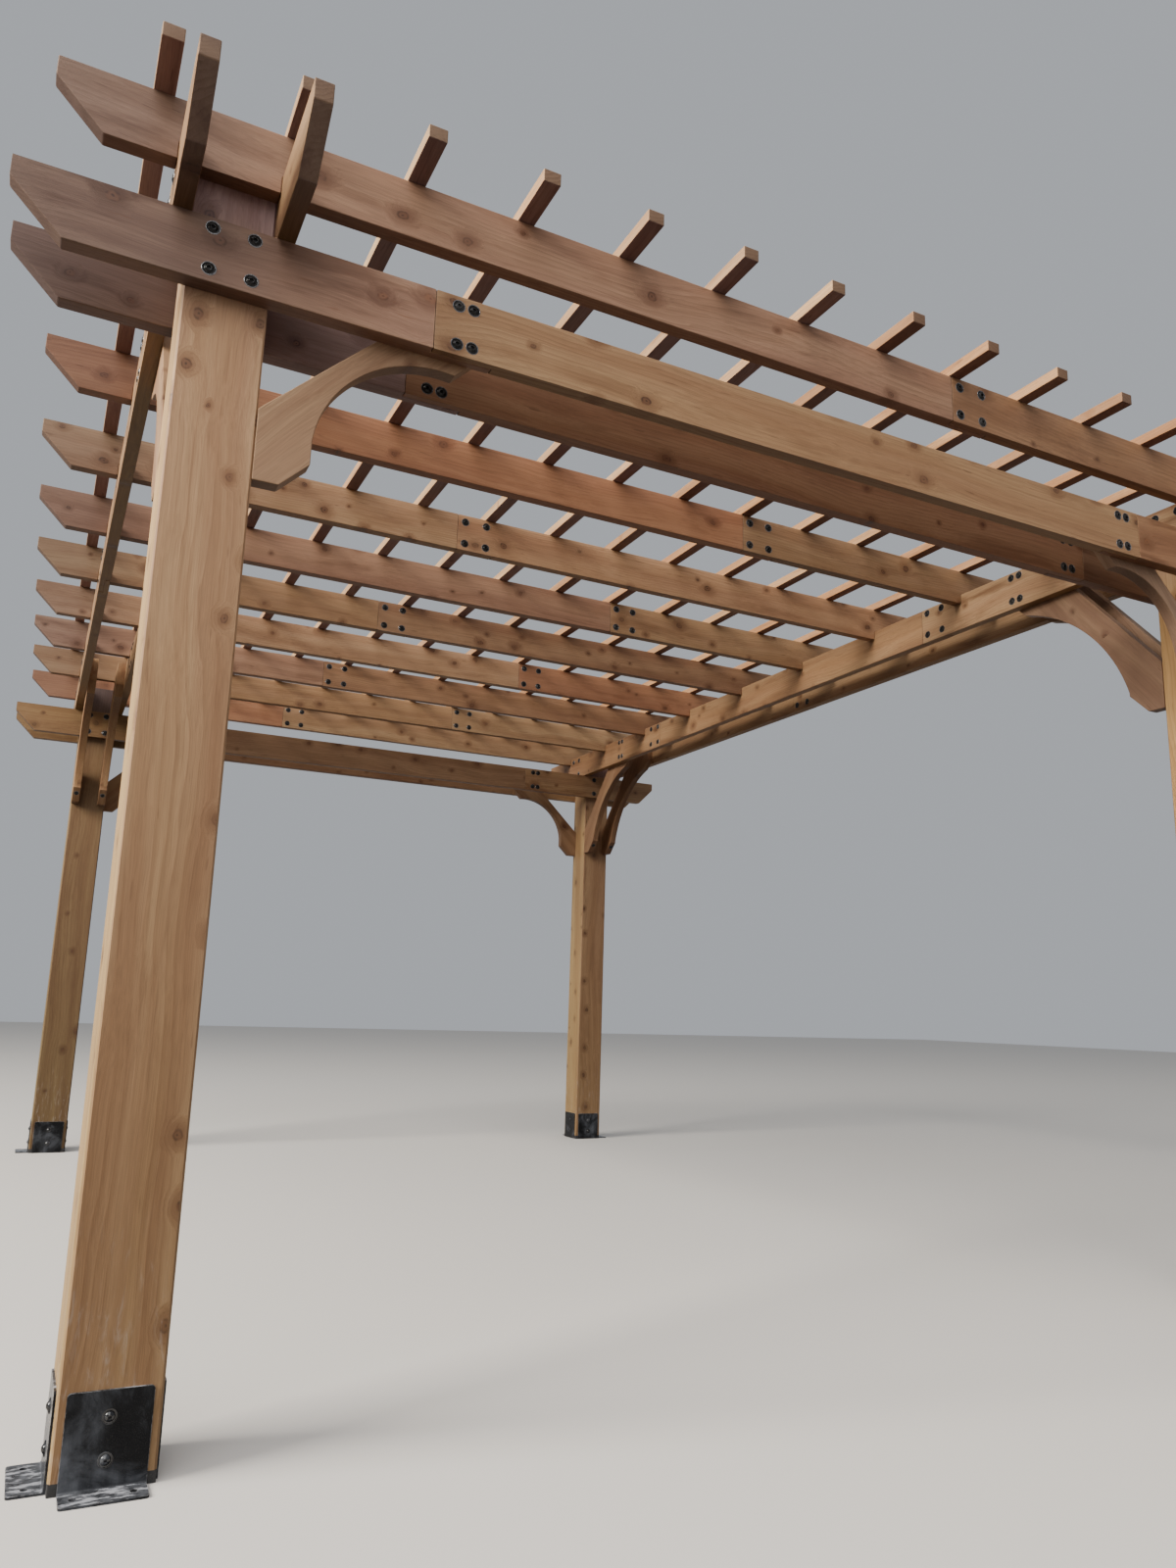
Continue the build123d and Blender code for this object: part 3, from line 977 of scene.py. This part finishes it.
@dataclass
class Beams(SubAssembly):
    """Two boards, one each side of the posts, along each of the four sides.

    Columns and splices are distances along a board, and rows are depths below its top.
    """

    front_top: float = 2.123
    side_top: float = 2.253
    front_length: float = 3.2
    side_length: float = 4.4
    side_tail: float = 2.02
    # Painted shade: a darker, cooler tint on the downward faces of the side beams' tails.
    tail_underside_shade: Colour = (0.55, 0.64, 1.05)
    post_columns: Row = BOLT_PAIR
    front_post_rows: Row = (0.0205, 0.104)
    side_post_rows: Row = (0.023, 0.107)
    front_splice: Row = (0.438, 0.470)
    rear_splice: Row = (0.413, 0.445)
    front_rows: Row = (0.022, 0.106)
    middle_splice: Row = BOLT_PAIR
    side_splice: Row = (0.931, 1.005)
    side_brace: Row = (0.5625, 0.597)
    side_rows: Row = (0.017, 0.101)

    def dress(self) -> None:
        """Give the boards their timber, a new length of it for each board."""
        front = (Grain.FRONT_BOARD, self.front_length, NO_TAIL)
        side = (Grain.SIDE_BOARD, self.side_length, self.side_tail)
        # Columns: name, grain, length, start of the tails, middle, tint of the downward faces, which is
        # painted shade and on the left beam also an olive tone, and the centre and end shades.
        sides = (
            ("front", *front, -self.half_y, SHADED, (Shade.CLAY, Shade.DUSK)),
            ("rear", *front, self.half_y, SHADED, (Shade.BROWN, Shade.CLAY)),
            ("left", *side, -self.half_x, (0.51, 0.46, 0.31), (Shade.OLIVE, Shade.OLIVE)),
            ("right", *side, self.half_x, (0.80, 0.74, 0.62), (Shade.CLAY, Shade.CLAY)),
        )
        depth = self.post + self.board
        for index, (name, grain, length, tail_start, middle, underside, shades) in enumerate(sides):
            parts = (("centre", WHOLE, 0.5, 0.40), ("end", length, 1.0, 0.75))
            for number, (part, cell, phase, blotch_depth) in enumerate(parts):
                finish = CedarFinish(
                    grain,
                    shades[number],
                    light_and_tone_zones=BEAM_LIGHT_AND_TONE_ZONES.get(f"{name}_{part}", ()),
                    seed=11.0 + 7 * index + number,
                    cell=(cell, WHOLE, depth),
                    phase=(phase, 0.5, 1.0 - middle / depth),
                    blotch_depth=blotch_depth,
                    underside=underside,
                    tail_start=tail_start,
                    tail_shade=UNTINTED,
                    tail_underside_shade=self.tail_underside_shade,
                )
                material = finish.material(f"beam_cedar_{name}_{part}", self.effects)
                dress_node(f"{name}_beam_{part}_boards", material, BOARD_EDGE)

    def faces(self, side: int) -> Iterator[tuple[float, int, bool, bool]]:
        """Yield the four faces of a pair of boards on one side of the pergola.

        Args:
            side: -1 for the front or left pair, 1 for the rear or right pair.

        Yields:
            Distance from the post centre, the way the face looks, whether it looks away from the posts,
            and whether its board is the outer one.
        """
        near = self.post / 2
        far = near + self.board
        for distance, way in ((-far, -1), (-near, 1), (near, -1), (far, 1)):
            yield distance, way, abs(distance) == far, distance * side > 0

    def fasten(self) -> None:
        """Bolt the boards to the posts, to the braces and to each other."""
        for name, sy, splice in (("front", -1, self.front_splice), ("rear", 1, self.rear_splice)):
            seats = []
            for distance, way, open_face, _ in self.faces(sy):
                y = sy * self.half_y + distance
                spots = [(self.half_x - out, down) for out, down in product(splice, self.front_rows)]
                if open_face:
                    into_post = product(self.post_columns, self.front_post_rows)
                    spots += [(self.half_x + out, down) for out, down in into_post]
                for sx in (-1, 1):
                    seats += [Seat((sx * x, y, self.front_top - z), (0, way, 0)) for x, z in spots]
            FastenerSet(f"{name}_beam_bolts", BOLT, self.bolt_heads, seats).build()
        for name, sx in (("left", -1), ("right", 1)):
            seats = []
            for distance, way, open_face, outer in self.faces(sx):
                x = sx * self.half_x + distance
                spots = self._side_spots(open_face, outer)
                seats += [Seat((x, y, self.side_top - z), (way, 0, 0)) for y, z in spots]
            FastenerSet(f"{name}_beam_bolts", BOLT, self.bolt_heads, seats).build()

    def _side_spots(self, open_face: bool, outer: bool) -> list[tuple[float, float]]:
        """List the bolts on one face of a side beam's board.

        Args:
            open_face: Whether the face looks away from the posts.
            outer: Whether the board is the outer one, joined at its middle.

        Returns:
            Places along the board and depths below its top.
        """
        spots = list(product(self.middle_splice, self.side_rows)) if outer else []
        joints = (() if outer else self.side_splice) + (self.side_brace if open_face else ())
        for sy in (-1, 1):
            spots += [(sy * (self.half_y - out), down) for out, down in product(joints, self.side_rows)]
            if open_face:
                into_post = product(self.post_columns, self.side_post_rows)
                spots += [(sy * self.half_y + out, down) for out, down in into_post]
        return spots


def shade_row(names: str) -> tuple[Shade, ...]:
    """Return the shades that a line of names stands for."""
    return tuple(Shade[name] for name in names.split())


@dataclass
class Roof(SubAssembly):
    """Sizes that the rafters and the slats share."""

    rafters: int = 10
    rafter_front: float = -2.115
    rafter_pitch: float = 0.470

    def rafter_places(self) -> list[float]:
        """List the places of the rafters along Y."""
        return [self.rafter_front + index * self.rafter_pitch for index in range(self.rafters)]


@dataclass
class Rafters(Roof):
    """Ten notched rafters, each spliced to one side of its middle."""

    top: float = 2.343
    splice: float = 0.412
    columns: Row = BOLT_PAIR
    rows: Row = (0.024, 0.100)
    # Painted shade: each rafter is tinted darker from here out to its tails.
    tail_start: float = 1.25
    left_shades: tuple[Shade, ...] = shade_row("ROSE BROWN RED TAN ROSE CLAY ORANGE ROSE CLAY RED")
    right_shades: tuple[Shade, ...] = shade_row("BROWN CLAY CLAY ORANGE CLAY BROWN RED BROWN CLAY CLAY")

    def dress(self) -> None:
        """Give each length of rafter its own timber."""
        for index, pair in enumerate(zip(self.left_shades, self.right_shades)):
            for side, (name, shade) in enumerate(zip(("left", "right"), pair)):
                seed = 41.0 + 2 * index + side
                finish = CedarFinish(Grain.FRONT_BOARD, shade, seed=seed, tail_start=self.tail_start)
                material = finish.material(f"rafter_cedar_{index + 1:02d}_{name}", self.effects)
                dress_node(f"rafter_{index + 1:02d}_{name}", material, BOARD_EDGE)

    def fasten(self) -> None:
        """Bolt each rafter's two lengths together."""
        seats = []
        for index, middle in enumerate(self.rafter_places()):
            joint = -self.splice if index % 2 else self.splice
            for way, column, down in product((-1, 1), self.columns, self.rows):
                place = (joint + column, middle + way * self.board / 2, self.top - down)
                seats.append(Seat(place, (0, way, 0)))
        FastenerSet("rafter_bolts", BOLT, self.bolt_heads, seats).build()


@dataclass
class Braces(SubAssembly):
    """Curved knee braces at each corner, the long ones with a lag screw in the slanting cut of the toe."""

    toe_height: float = 1.6922
    toe_out: float = 0.0912
    short_lean: float = math.radians(47)
    long_lean: float = math.radians(52)
    shades: tuple[Shade, ...] = (Shade.SAND, Shade.STONE, Shade.CLAY, Shade.BROWN)

    def dress(self) -> None:
        """Give the braces timber whose fibres run up the curve."""
        for index, (corner, sx, sy) in enumerate(self.corners()):
            finish = BraceFinish(
                Grain.FRONT_BOARD,
                self.shades[index],
                seed=71.0 + index,
                cell=(WHOLE, WHOLE, self.post - self.board),
                ring_depth=0.22,
                knot_share=0.25,
                inner_face=self.half_x - self.post / 2 - 0.0005,
                short_lean=self.short_lean * sx,
                long_lean=self.long_lean * sy,
            )
            material = finish.material(f"brace_cedar_{corner}", self.effects)
            dress_node(f"knee_braces_{corner}", material, BOARD_EDGE)

    def fasten(self) -> None:
        """Drive a lag screw through the toe of each long brace into the post."""
        seats = []
        flush = (self.post - self.board) / 2
        for _, sx, sy in self.corners():
            x, y = sx * self.half_x, sy * (self.half_y - self.post / 2 - self.toe_out)
            outward = Vector((0, -sy, -1)).normalized()
            seats += [Seat((x + side, y, self.toe_height), outward) for side in (-flush, flush)]
        FastenerSet("brace_lag_screws", LAG_SCREW, self.bolt_heads, seats).build()


@dataclass
class Slats(Roof):
    """Fourteen thin slats on the rafters, with a screw at each crossing."""

    count: int = 14
    first: float = -1.560
    pitch: float = 0.240
    top: float = 2.371
    # Each half of the slats: its name, its shade and the tint of its downward faces, which is painted shade.
    # The left slats are paler than the right ones partly as painted light.
    timber: tuple[tuple[str, Shade, Colour], ...] = (
        ("left", Shade.PALE, (0.54, 0.56, 1.00)),
        ("right", Shade.HONEY, (0.50, 0.50, 0.80)),
    )

    def dress(self) -> None:
        """Give each slat its own timber."""
        for index, (name, shade, underside) in enumerate(self.timber):
            finish = CedarFinish(
                Grain.SLAT,
                shade,
                seed=83.0 + index,
                cell=(WHOLE, self.pitch, WHOLE),
                phase=(0.5, 0.5 - self.first / self.pitch, 0.5),
                knot_share=0.3,
                knot_radius=0.007,
                edge_wear=0.06,
                underside=underside,
            )
            dress_node(f"slats_{name}", finish.material(f"slat_cedar_{name}", self.effects), SLAT_EDGE)

    def fasten(self) -> None:
        """Drive a screw through each slat into each rafter, its head let in flush."""
        slats = [self.first + index * self.pitch for index in range(self.count)]
        seats = [Seat((x, y, self.top), (0, 0, 1)) for x, y in product(slats, self.rafter_places())]
        FastenerSet("slat_screws", SLAT_SCREW, self.bolt_heads, seats).build()


@dataclass
class Feet(SubAssembly):
    """Pads, bent anchor plates and cover plates under the posts."""

    plate: float = 0.004
    screw_heights: Row = (0.043, 0.103)

    def dress(self) -> None:
        """Give the plates black steel and the pads their matt skin."""
        steel = SteelFinish().material("black_steel", self.effects)
        for corner, _, _ in self.corners():
            dress_node(f"foot_anchors_{corner}", steel, PLATE_EDGE)
        dress_node("foot_cover_plates", steel, PLATE_EDGE)
        dress_node("foot_pads", PadFinish().material("foot_pad", self.effects), PAD_EDGE)

    def fasten(self) -> None:
        """Fix each plate with two domed screws on its centre line."""
        seats = []
        reach = self.post / 2 + self.plate
        sides = [Matrix.Rotation(math.radians(90 * turn), 3, "Z") @ Vector((1, 0, 0)) for turn in range(4)]
        for _, sx, sy in self.corners():
            for z in self.screw_heights:
                middle = Vector((sx * self.half_x, sy * self.half_y, z))
                seats += [Seat(middle + outward * reach, outward) for outward in sides]
        FastenerSet("plate_screws", PLATE_SCREW, self.screw_heads, seats).build()


# Studio


@dataclass(frozen=True)
class Lamp:
    """One square area light that looks at the roof."""

    name: str
    place: Point
    size: float
    power: float
    colour: Point
    target: Point = (0.0, 0.0, 1.5)

    def hang(self) -> None:
        """Put the light into the scene."""
        data = bpy.data.lights.new(self.name, "AREA")
        data.size = self.size
        data.energy = self.power
        data.color = self.colour
        lamp = bpy.data.objects.new(self.name, data)
        lamp.location = self.place
        lamp.rotation_euler = (Vector(self.target) - Vector(self.place)).to_track_quat("-Z", "Y").to_euler()
        bpy.context.scene.collection.objects.link(lamp)


@dataclass
class Studio:
    """Pale floor, soft light all round, three broad lights and the camera."""

    eye: Point = (-1.6086, -4.0615, 0.7216)
    yaw: float = 26.24
    pitch: float = 11.48
    roll: float = 1.67
    focal_px: float = 1139.86
    image_px: float = 1600.0
    sensor: float = 36.0
    clips: tuple[float, float] = (0.05, 200.0)
    floor_size: float = 30.0
    floor_colour: Colour = (0.60, 0.57, 0.53)
    above: Colour = (0.83, 0.87, 0.93)
    below: Colour = (0.18, 0.155, 0.135)
    surround_strength: float = 0.51
    lamps: tuple[Lamp, ...] = (
        Lamp("left_key", (-13.5, -3.0, 8.0), 7.0, 5300.0, (1.0, 0.95, 0.87)),
        Lamp("top_front", (-4.0, -6.5, 7.5), 7.0, 560.0, (1.0, 0.97, 0.95)),
        Lamp("low_front", (-1.5, -10.0, 2.2), 6.0, 120.0, (1.0, 0.96, 0.92)),
    )

    def floor(self) -> None:
        """Lay a broad pale floor."""
        finish = bpy.data.materials.new("floor_plain")
        finish.use_nodes = True
        shader = finish.node_tree.nodes["Principled BSDF"]
        shader.inputs["Base Color"].default_value = (*self.floor_colour, 1.0)
        shader.inputs["Roughness"].default_value = 0.85
        mesh = bmesh.new()
        bmesh.ops.create_grid(mesh, x_segments=8, y_segments=8, size=self.floor_size)
        ground = add_piece("floor", mesh, (finish,))
        ground.visible_diffuse = False

    def surround(self) -> None:
        """Light the scene softly from all round, pale above and dim below eye level."""
        world = bpy.data.worlds.new("soft_surround")
        bpy.context.scene.world = world
        world.use_nodes = True
        w = Wiring(world.node_tree)
        height = w.split(w.add("TexCoord").outputs["Generated"])["Z"]
        background = world.node_tree.nodes["Background"]
        w.feed(background.inputs["Color"], w.mix(w.remap(height, -0.16, -0.01), self.below, self.above))
        background.inputs["Strength"].default_value = self.surround_strength

    def light(self) -> None:
        """Hang the lights."""
        for lamp in self.lamps:
            lamp.hang()

    def camera(self) -> None:
        """Set the camera low by the front left post, looking up and along the front."""
        yaw, pitch, roll = (math.radians(angle) for angle in (self.yaw, self.pitch, self.roll))
        forward = Vector((math.sin(yaw) * math.cos(pitch), math.cos(yaw) * math.cos(pitch), math.sin(pitch)))
        level = Vector((math.cos(yaw), -math.sin(yaw), 0))
        above = level.cross(forward)
        right = level * math.cos(roll) + above * math.sin(roll)
        up = above * math.cos(roll) - level * math.sin(roll)
        data = bpy.data.cameras.new("camera")
        data.sensor_width = self.sensor
        data.lens = self.focal_px * self.sensor / self.image_px
        data.clip_start, data.clip_end = self.clips
        camera = bpy.data.objects.new("camera", data)
        turn = Matrix((right, up, -forward)).transposed().to_4x4()
        camera.matrix_world = Matrix.Translation(self.eye) @ turn
        bpy.context.scene.collection.objects.link(camera)
        bpy.context.scene.camera = camera


def main() -> None:
    """Dress and bolt each sub-assembly, then light the pergola."""
    effects = SharedEffects()
    head = SteelFinish(
        coat=(0.0060, 0.0052, 0.0046),
        dusted=(0.046, 0.044, 0.043),
        rubbed=(0.10, 0.10, 0.105),
        smudge_size=HEAD_SMUDGES,
        gloss=0.12,
        shine=0.13,
        lying_dust=0.1,
    )
    rim = SteelFinish(coat=(0.14, 0.14, 0.145), smudge_size=HEAD_SMUDGES, metallic=0.6)
    bolt_heads = (head.material("bolt_steel", effects), rim.material("washer_rim", effects))
    glossy = {"rubbed": (0.012, 0.012, 0.013), "gloss": 0.05, "shine": 0.55, "lying_dust": 0.0}
    screw = SteelFinish(smudge_size=HEAD_SMUDGES, **glossy).material("screw_steel", effects)
    kinds = (Posts, Beams, Rafters, Braces, Slats, Feet)
    parts = [kind(effects, bolt_heads, (screw, screw)) for kind in kinds]
    for part in parts:
        part.dress()
        log.info("dressed %s", type(part).__name__)
    for part in parts:
        part.fasten()
    studio = Studio()
    studio.floor()
    studio.surround()
    studio.light()
    studio.camera()


if __name__ == "__main__":
    main()
